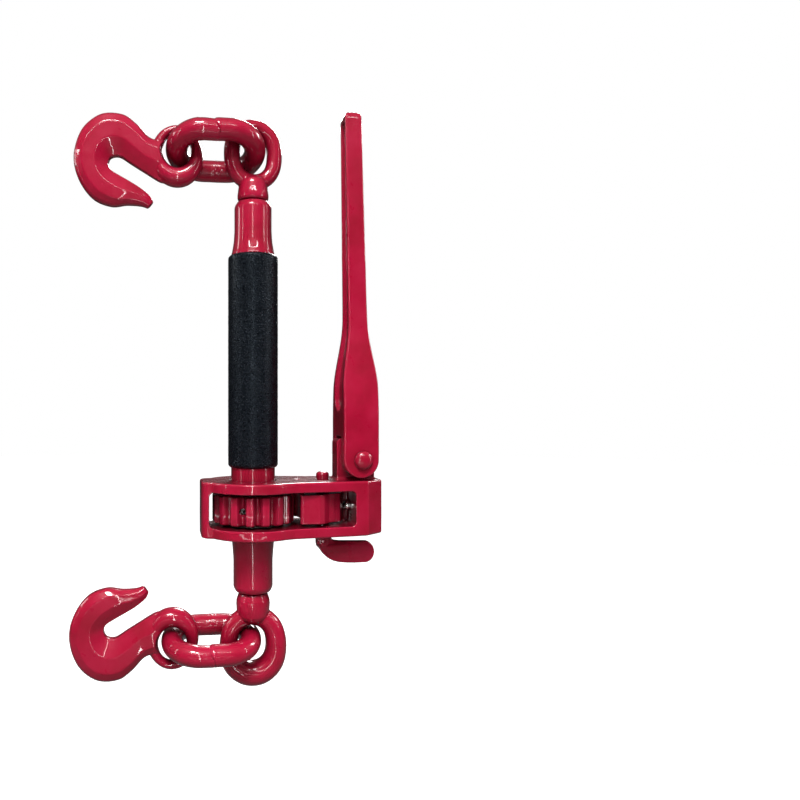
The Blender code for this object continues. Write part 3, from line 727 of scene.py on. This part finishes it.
def pawl_outline():
    """Plan of the reversing pawl about its own shaft: two claws and a notched back."""
    valley = 2 * math.pi / TEETH
    reach_x = PAWL_PIVOT.x - 27.4 * math.cos(valley)
    reach_y = 27.4 * math.sin(valley)
    reach = math.hypot(reach_x, reach_y)
    claw = math.atan2(reach_y, -reach_x) - PAWL_SWING
    tip = (reach * math.cos(claw), reach * math.sin(claw))
    upper = []
    for step in range(37):
        a = 1.5 * PAWL_SWING * step / 36
        upper.append((pawl_back(a) * math.cos(a), pawl_back(a) * math.sin(a)))
    upper += [(10.6, 10.8), (6.6, 12.4), (1.4, 15.4), (-2.8, 19.6), (-6.4, tip[1] + 1.7)]
    upper += [(tip[0] + 1.6, tip[1] + 1.7), (tip[0] + 0.3, tip[1] + 0.9), (tip[0], tip[1] - 0.2)]
    upper += [(tip[0] + 3.8, tip[1] - 3.4), (tip[0] + 5.0, 9.4), (-12.9, 4.2)]
    return upper + [(x, -y) for x, y in reversed(upper[1:])]


def build_pawl():
    low, high = box_mm("pawl")
    body = moved(prism(pawl_outline(), low.z, high.z), at(PAWL_PIVOT.x, 0, 0))
    bore = moved(turned([(SHAFT_R + GAP, -30), (SHAFT_R + GAP, 30)], sides=64), at(PAWL_PIVOT.x, 0, 0))
    pin_low, pin_high = box_mm("pawl_roll_pin")
    pin_z = (pin_low.z + pin_high.z) / 2
    drill = moved(turned([(1.9, 0), (1.9, 40)], sides=32), along_x(PAWL_PIVOT.x - 20, 0, pin_z))
    mesh = forged([body], [bore, drill], voxel=0.35, relax=4, uneven=0.05)
    add("reversing_pawl", mesh, "pawl", RED, "pawl")
    pin = turned(rounded([(0.3, 0), (1.6, 0), (1.6, 21.0), (0.3, 21.0)], 0.4, 3), sides=40)
    add("pawl_cross_pin", to_mesh(moved(pin, along_x(pin_low.x, 0, pin_z))), "pawl", STEEL, "pawl_roll_pin")


def lever_outline():
    end = LEVER_HIGH.x - 7.0
    points = [(46.8, -21.5), (47.0, -25.0), (47.8, -28.6), (49.4, -32.0), (51.8, -35.4), (55.0, -38.3)]
    points += [(58.8, -40.4), (63.5, -41.7), (69.0, -42.2), (75.0, -42.4)]
    points += arc(end, -34.3, 7.0, -88, 88, 24, ry=8.0)
    return points + [(74.0, -26.1), (64.0, -25.9), (60.0, -25.4), (57.6, -23.8), (57.0, -21.5)]


def lever_blade():
    """The thumb blade, thickest at its root and crowned across its width."""
    bm = bmesh.new()
    rings = []
    outline = lever_outline()
    cx = sum(x for x, z in outline) / len(outline)
    cz = -34.0
    for share, y in ((0.90, -2.9), (0.965, -2.55), (1.0, -1.7), (1.0, 1.7), (0.965, 2.55), (0.90, 2.9)):
        ring = []
        for x, z in outline:
            root = 1 + 0.65 * smooth_share((62.0 - x) / 14.0)
            shrunk_x = cx + (x - cx) * (0.96 + 0.04 * share)
            ring.append(bm.verts.new((shrunk_x, y * root, cz + (z - cz) * share)))
        rings.append(ring)
    return skin(bm, rings)


def build_selector():
    hub_top = -PLATE_TOP - GAP
    top = LEVER_HIGH.z
    profile = [(2.4, -31.5), (4.6, -29.5), (5.2, -27.0), (5.2, -23.4), (7.0, -23.0), (7.0, hub_top)]
    profile += [(SHAFT_R, hub_top), (SHAFT_R, top - 2.4)] + arc(0, top - 2.4, SHAFT_R, 12, 84, 10, ry=2.4)
    shaft = moved(turned(profile, sides=64), at(PAWL_PIVOT.x, 0, 0))
    mesh = forged([shaft, lever_blade()], voxel=0.35, relax=6, uneven=0.05)
    add("selector_thumb_lever", mesh, "pawl", RED, "selector_lever")


# Handle

def handle_station(z):
    """Centre, half-width along X and half-depth along Y of the bar at a height."""
    x = HANDLE_PIVOT.x
    base = HANDLE_PIVOT.z
    if z < base:
        half = math.sqrt(max(EAR_R ** 2 - (z - base) ** 2, 0.01))
        return x - 1.0, half, EAR_HALF
    taper = smooth_share((z - 84.0) / 52.0)
    upper = max(0.0, (z - 136.0) / (HANDLE_HIGH.z - 136.0))
    half = EAR_R + (7.1 - EAR_R) * taper - 0.9 * upper
    depth = EAR_HALF + (9.6 - EAR_HALF) * smooth_share((z - 62.0) / 88.0) - 1.6 * upper
    return x - 1.0 - 0.4 * taper - 2.9 * upper, half, depth


def handle_section(half, depth, corner):
    section = arc(half - corner, depth - corner, corner, 0, 90, 5)
    section += arc(-half + corner, depth - corner, corner, 90, 180, 5)
    section += arc(-half + corner, -depth + corner, corner, 180, 270, 5)
    return section + arc(half - corner, -depth + corner, corner, 270, 360, 5)


def handle_bar():
    base = HANDLE_PIVOT.z
    top = HANDLE_HIGH.z
    heights = [base - EAR_R * math.cos(math.radians(a)) for a in range(6, 90, 5)]
    heights += [base + 4 * i for i in range(int((top - 6 - base) / 4) + 1)]
    heights += [top - 4.5, top - 3.0, top - 1.8, top - 0.9, top - 0.25, top]
    bm = bmesh.new()
    rings = []
    for z in heights:
        centre, half, depth = handle_station(z)
        cap = max(0.0, (z - top + 4.5) / 4.5)
        ease = 2.4 * (1 - math.sqrt(max(1 - cap ** 2, 0.0)))
        section = handle_section(half - ease, depth - ease, min(1.3, 0.3 * half))
        rings.append([bm.verts.new((centre + x, y, z)) for x, y in section])
    return skin(bm, rings)


def side_channel(sign):
    """The long forged channel in the inner or outer edge, with a pointed foot."""
    bm = bmesh.new()
    rings = []
    top = HANDLE_HIGH.z
    rows = [(70, 0.16), (73, 0.40), (78, 0.56), (88, 0.63), (104, 0.65)]
    rows += [(z, 0.66) for z in range(116, int(top) - 12, 8)] + [(top - 9, 0.60), (top - 6, 0.42)]
    for z, share in rows:
        centre, half, depth = handle_station(z)
        face = centre + sign * half
        floor = face - sign * 2.9
        wide = depth * share
        lip = depth * share * 1.06
        narrow = wide * 0.72
        ring = [(face + sign * 4, -lip), (face + sign * 4, lip), (face - sign * 0.6, wide)]
        ring += [(floor, narrow), (floor, -narrow), (face - sign * 0.6, -wide)]
        rings.append([bm.verts.new((x, y, z)) for x, y in ring])
    return skin(bm, rings)


def build_handle():
    top = HANDLE_PIVOT.z + 16.6
    half = TANG_HALF + 0.5
    slot = upright([(50, 10), (110, 10), (110, top), (50, top)], -half, half)
    bore = turned([(HANDLE_BORE_R, -30), (HANDLE_BORE_R, 30)], sides=64)
    moved(bore, along_y(HANDLE_PIVOT.x, 0, HANDLE_PIVOT.z))
    mesh = forged([handle_bar()], [slot, side_channel(-1), side_channel(1), bore], voxel=0.45, relax=3,
                  uneven=0.06)
    add("folding_handle", mesh, "handle", RED, "handle")


# Eyebolts, links and hooks

def eye_ring(x0, z0, stretch, side, crown, away, yaw):
    """A forged eye round a long hole."""
    hole = 10.0
    steps = 120
    path = []
    radii = []
    for a in angles(steps):
        share = ((1 + away * math.sin(a)) / 2) ** 2.5
        wire = side + (crown - side) * share - x0 / 2 * math.cos(a)
        shift = stretch * math.tanh(2.4 * math.sin(a))
        x = x0 + (hole + wire) * math.cos(a)
        z = z0 + (hole + wire) * math.sin(a) + shift
        path.append(Vector((x * math.cos(yaw), x * math.sin(yaw), z)))
        radii.append(wire)
    return tube(path, lambda i, a: radii[i], sides=48, closed=True)


def screw_thread(start, end, hand):
    """A rolled thread from start to end, faded out at both ends."""
    length = abs(end - start)
    sign = 1 if end > start else -1
    sides = 48
    rows = int(length / 0.5)
    bm = bmesh.new()
    rings = []
    for row in range(rows + 1):
        along = length * row / rows
        z = start + sign * along
        fade = min(1.0, along / 4.0, (length - along) / 4.0)
        ring = []
        for a in angles(sides):
            phase = (z / THREAD_PITCH - hand * a / (2 * math.pi)) % 1.0
            cut = smooth_share(1 - abs(phase - 0.5) / 0.34)
            r = SCREW_R - 1.5 * cut * fade - (1.2 * max(0.0, 1 - along / 2.0))
            ring.append(bm.verts.new((r * math.cos(a), r * math.sin(a), z)))
        rings.append(ring)
    return skin(bm, rings)


COLLARS = {
    "upper_eyebolt": [(0.02, 10.5), (0.14, 11.3), (0.34, 11.3), (0.70, 10.7), (0.95, 10.2), (1.15, 9.2),
                      (1.32, 6.8)],
    "lower_eyebolt": [(0.02, 10.3), (0.10, 10.9), (0.30, 12.1), (0.50, 12.3), (0.74, 12.0), (0.98, 11.2),
                      (1.14, 9.6), (1.26, 7.0)],
}


def build_eyebolt(node, ring, collar_end, barrel_end, away, hand):
    neck = barrel_end + away * 0.8
    length = abs(collar_end - neck)
    shank = SCREW_R - 0.6
    profile = [(shank - 0.6, barrel_end - away * 6.0), (shank, barrel_end - away * 4.5), (shank, neck)]
    profile += [(r, neck + away * share * length) for share, r in COLLARS[node]]
    if away < 0:
        profile.reverse()
    collar = turned(profile, sides=96)
    mesh = forged([collar, ring], voxel=0.5, relax=9, uneven=0.08)
    add(node + "_forged_eye", mesh, node, RED, node)
    low, high = box_mm(node)
    tip = low.z if away > 0 else high.z
    thread = screw_thread(tip, barrel_end - away * 3.0, hand)
    add(node + "_rolled_thread", to_mesh(thread), node, STEEL, sharp=40)


def build_link(node, end, far, roll):
    """A welded round-wire link; the butt weld is in the middle of its front wire."""
    bend = LINK_HALF_WIDTH
    near_x = end.x - bend
    far_x = far.x + bend
    straight = near_x - far_x
    front = [(near_x - straight * i / 60, -bend) for i in range(1, 60)]
    back = [(far_x + straight * i / 60, bend) for i in range(1, 60)]
    plan = arc(near_x, 0, bend, 90, -90, 50) + front + arc(far_x, 0, bend, -90, -270, 50) + back
    weld = near_x - straight * 0.48

    def sunk(x, y):
        """The side of the butt weld that stands a little lower."""
        if y > -bend + 0.5 or x > weld + 0.6:
            return 0.0
        return smooth_share((weld + 0.6 - x) / 1.4) * math.exp((x - weld) / 9.0)

    path = []
    for x, y in plan:
        drop = 0.75 * sunk(x, y)
        path.append(Vector((x, y * math.cos(roll), end.z - y * math.sin(roll) - drop)))

    def wire(i, a):
        x, y = plan[i]
        size = LINK_R - 0.12 - 0.55 * sunk(x, y)
        if y > bend - 0.5:
            off = (x - weld - 1.5) / 3.0
            return size + 0.12 * math.exp(-off * off) * (1 + math.sin(7 * a + 3 * x)) * math.cos(2.6 * x) ** 2
        if y > -bend + 0.5:
            return size
        off = (x - weld - 0.4) / 0.7
        return size + 0.10 * math.exp(-off * off) * (1 + math.sin(3 * a + 1.0))

    mesh = to_mesh(tube(path, wire, sides=64, closed=True))
    roughen(mesh, 0.07)
    add(node + "_welded", mesh, node, RED, node)


HOOK_STATIONS = [
    ((-5.0, 12.0), (-6.8, -16.8), 2.6),
    ((-9.9, 12.1), (-11.9, -16.6), 6.6),
    ((-19.6, 14.5), (-24.1, -9.6), 7.0),
    ((-28.4, 23.4), (-32.3, -4.6), 7.5),
    ((-38.3, 29.7), (-40.1, 0.0), 7.8),
    ((-53.2, 29.2), (-45.8, -0.6), 7.9),
    ((-66.1, 18.5), (-47.9, -3.7), 7.9),
    ((-72.1, 0.6), (-48.0, -7.1), 7.9),
    ((-69.4, -16.0), (-45.8, -10.3), 7.9),
    ((-59.5, -29.9), (-40.4, -13.5), 7.6),
    ((-46.5, -35.2), (-31.9, -18.1), 7.0),
    ((-35.3, -34.0), (-25.3, -22.0), 5.9),
    ((-25.5, -34.4), (-18.8, -27.2), 4.6),
    ((-20.7, -35.9), (-16.7, -31.5), 3.2),
]
HOOK_SECTION = [(-1.0, 0.30), (-0.97, 0.46), (-0.87, 0.66), (-0.53, 0.985), (-0.48, 1.0), (0.18, 1.0),
                (0.23, 0.985), (0.60, 0.70), (0.88, 0.46), (0.97, 0.40), (1.0, 0.30)]


def spline(a, b, c, d, t):
    return 0.5 * (2 * b + (c - a) * t + (2 * a - 5 * b + 4 * c - d) * t * t
                  + (3 * b - a - 3 * c + d) * t ** 3)


def smooth_stations(stations, steps):
    flat = [(*back, *throat, thick) for back, throat, thick in stations]
    rows = []
    for i in range(len(flat) - 1):
        window = [flat[max(i - 1, 0)], flat[i], flat[i + 1], flat[min(i + 2, len(flat) - 1)]]
        rows += [[spline(*values, step / steps) for values in zip(*window)] for step in range(steps)]
    rows.append(list(flat[-1]))
    return [((r[0], r[1]), (r[2], r[3]), r[4]) for r in rows]


def hook_body(x0, z0, mirror):
    """The hook's arm and point: a flat land on each side, bevelled towards back and throat."""
    loop = HOOK_SECTION + [(u, -v) for u, v in reversed(HOOK_SECTION)]
    bm = bmesh.new()
    rings = []
    for back, throat, thick in smooth_stations(HOOK_STATIONS, 7):
        ring = []
        for u, v in loop:
            share = (u + 1) / 2
            x = back[0] + (throat[0] - back[0]) * share
            z = back[1] + (throat[1] - back[1]) * share
            ring.append(bm.verts.new((x0 + x, v * thick, z0 + mirror * z)))
        rings.append(ring)
    return skin(bm, rings)


def hook_eye(x0, z0, mirror):
    path = []
    radii = []
    for a in angles(96):
        inner_x = HOOK_HOLE[0] * math.cos(a)
        inner_z = HOOK_HOLE[1] * math.sin(a) + HOOK_HOLE_RISE
        outer_x = HOOK_EYE[0] * math.cos(a)
        outer_z = HOOK_EYE[1] * math.sin(a) + HOOK_EYE_RISE
        path.append(Vector((x0 + (inner_x + outer_x) / 2, 0, z0 + mirror * (inner_z + outer_z) / 2)))
        radii.append(math.hypot(outer_x - inner_x, outer_z - inner_z) / 2)
    return tube(path, lambda i, a: radii[i], sides=40, closed=True, flat=1.12)


def hook_hole(x0, z0, mirror):
    """The hole for the link, opening out a little towards both faces so that the hook can swing."""
    bm = bmesh.new()
    rings = []
    for y, grow in ((-20.0, 7.4), (-1.5, 0.0), (1.5, 0.0), (20.0, 7.4)):
        ring = []
        for a in angles(64):
            x = x0 + (HOOK_HOLE[0] + grow) * math.cos(a)
            z = z0 + mirror * HOOK_HOLE_RISE + (HOOK_HOLE[1] + grow) * math.sin(a)
            ring.append(bm.verts.new((x, y, z)))
        rings.append(ring)
    return skin(bm, rings)


def build_hook(node, far, mirror):
    x0 = far.x + 0.2
    z0 = far.z - HOOK_HANG - mirror * HOOK_HOLE_RISE
    shells = [hook_body(x0, z0, mirror), hook_eye(x0, z0, mirror)]
    mesh = forged(shells, [hook_hole(x0, z0, mirror)], voxel=0.45, relax=3, uneven=0.08)
    add(node + "_forging", mesh, node, RED, node)


# Studio

def area_light(name, place, target, size, size_y, power):
    data = bpy.data.lights.new(name, "AREA")
    data.shape = "RECTANGLE"
    data.size = size
    data.size_y = size_y
    data.energy = power
    obj = bpy.data.objects.new(name, data)
    bpy.context.collection.objects.link(obj)
    obj.location = ORIGIN + Vector(place)
    aim = ORIGIN + Vector(target) - obj.location
    obj.rotation_euler = aim.to_track_quat("-Z", "Y").to_euler()
    obj.visible_camera = False


def floor_material():
    """Pale for the camera, fading to white far away, and quieter for the light it throws back."""
    m = Nodes("pale_floor", "stage")
    far = m.node("ShaderNodeVectorMath", operation="LENGTH")
    m.link(m.where, far.inputs[0])
    glow = m.spread(far.outputs["Value"], 0.15, 1.1, 0.60, 1.0)
    seen = m.node("ShaderNodeLightPath").outputs["Is Camera Ray"]
    strength = m.node("ShaderNodeMath", operation="MULTIPLY")
    m.link(seen, strength.inputs[0])
    m.link(glow, strength.inputs[1])
    grain = m.spread(m.noise(60, 4), 0.3, 0.7, 0.40, 0.46)
    pale = m.node("ShaderNodeCombineColor")
    for channel in ("Red", "Green", "Blue"):
        m.link(grain, pale.inputs[channel])
    m.link(m.mix(seen, (0.12, 0.115, 0.12), pale.outputs["Color"]), m.shader.inputs["Base Color"])
    m.set(Roughness=0.85, Emission_Color=(1.0, 1.0, 1.0, 1.0), Specular_IOR_Level=0.1)
    m.link(strength.outputs[0], m.shader.inputs["Emission Strength"])
    return m.mat


def build_floor():
    """Low enough that the lower hook stays clear of it with the screw out and the chain end swung down."""
    bm = bmesh.new()
    bmesh.ops.create_circle(bm, cap_ends=True, segments=96, radius=6.0)
    mesh = bpy.data.meshes.new("studio_floor")
    bm.to_mesh(mesh)
    bm.free()
    floor = bpy.data.objects.new("studio_floor", mesh)
    bpy.context.collection.objects.link(floor)
    lower_reach = JOINTS["lower_screw"]["range_m"][1] + CHAIN_REACH
    floor.location = (0, 0, CAD_BOX[0][2] - lower_reach)
    mesh.materials.append(floor_material())


def build_world():
    """White to the camera; a dim room with a brighter ceiling for the light and the reflections."""
    world = bpy.data.worlds.new("studio")
    world.use_nodes = True
    tree = world.node_tree
    seen = tree.nodes["Background"]
    seen.inputs["Color"].default_value = (1, 1, 1, 1)
    seen.inputs["Strength"].default_value = 1.0
    room = tree.nodes.new("ShaderNodeBackground")
    where = tree.nodes.new("ShaderNodeTexCoord")
    split = tree.nodes.new("ShaderNodeSeparateXYZ")
    height = tree.nodes.new("ShaderNodeMapRange")
    for key, number in (("From Min", 0.0), ("From Max", 0.9), ("To Min", 0.012), ("To Max", 0.24)):
        height.inputs[key].default_value = number
    tree.links.new(where.outputs["Generated"], split.inputs[0])
    tree.links.new(split.outputs["Z"], height.inputs["Value"])
    tree.links.new(height.outputs["Result"], room.inputs["Strength"])
    ray = tree.nodes.new("ShaderNodeLightPath")
    choose = tree.nodes.new("ShaderNodeMixShader")
    tree.links.new(ray.outputs["Is Camera Ray"], choose.inputs[0])
    tree.links.new(room.outputs[0], choose.inputs[1])
    tree.links.new(seen.outputs[0], choose.inputs[2])
    tree.links.new(choose.outputs[0], tree.nodes["World Output"].inputs["Surface"])
    bpy.context.scene.world = world


def build_studio():
    build_floor()
    build_world()
    middle = (-0.018, 0.0, 0.079)
    area_light("key_softbox", (-0.45, -1.45, 2.15), middle, 0.75, 0.50, 61.0)
    area_light("high_strip", (-0.10, -0.90, 0.80), middle, 0.95, 0.025, 2.8)
    area_light("front_strip", (-0.048, -0.34, 0.055), (-0.048, 0.0, 0.055), 0.006, 0.56, 0.37)
    area_light("low_strip", (-0.06, -0.42, -0.10), (-0.03, 0.0, 0.02), 0.50, 0.008, 0.09)
    area_light("left_strip", (-1.00, -0.30, 0.30), middle, 0.016, 0.8, 0.9)
    area_light("right_strip", (0.95, -0.45, 0.30), middle, 0.025, 0.8, 1.5)
    area_light("back_softbox", (0.45, 1.35, 1.00), middle, 0.55, 0.45, 26.0)
    area_light("right_softbox", (1.45, 0.15, 0.75), middle, 0.30, 0.50, 10.0)
    area_light("left_softbox", (-1.45, 0.30, 0.70), middle, 0.30, 0.50, 4.0)


def build_camera():
    """A level camera a little to the left of the object, shifted so that the object stands left of centre."""
    yaw = math.radians(7.0)
    distance = 0.52
    data = bpy.data.cameras.new("camera")
    obj = bpy.data.objects.new("camera", data)
    bpy.context.collection.objects.link(obj)
    data.sensor_width = 36
    data.lens = 32.175
    obj.location = ORIGIN + Vector((-math.sin(yaw) * distance, -math.cos(yaw) * distance, 0.074))
    obj.rotation_euler = (math.radians(90), 0, -yaw)
    data.shift_x = 0.18375
    data.shift_y = 0.00625
    bpy.context.scene.camera = obj
    bpy.context.scene.view_settings.view_transform = "Standard"


build_barrel()
build_grip()
build_gear()
build_gear_pin()
build_washer("upper_thrust_washer")
build_washer("lower_thrust_washer")
build_housing()
build_handle_pin()
build_detent()
build_pawl()
build_selector()
build_handle()
build_eyebolt("upper_eyebolt", eye_ring(0.3, 255.8, 4.2, 5.8, 5.6, 1, math.radians(6)), 234.8,
              BARREL_HIGH.z, 1, 1)
build_eyebolt("lower_eyebolt", eye_ring(-1.0, -98.7, 3.1, 6.8, 9.0, -1, math.radians(-2)), -78.7,
              BARREL_LOW.z, -1, -1)
build_link("upper_link", UPPER_END, UPPER_FAR, math.radians(27.0))
build_link("lower_link", LOWER_END, LOWER_FAR, math.radians(-14.5))
build_hook("upper_hook", UPPER_FAR, 1)
build_hook("lower_hook", LOWER_FAR, -1)
build_studio()
build_camera()
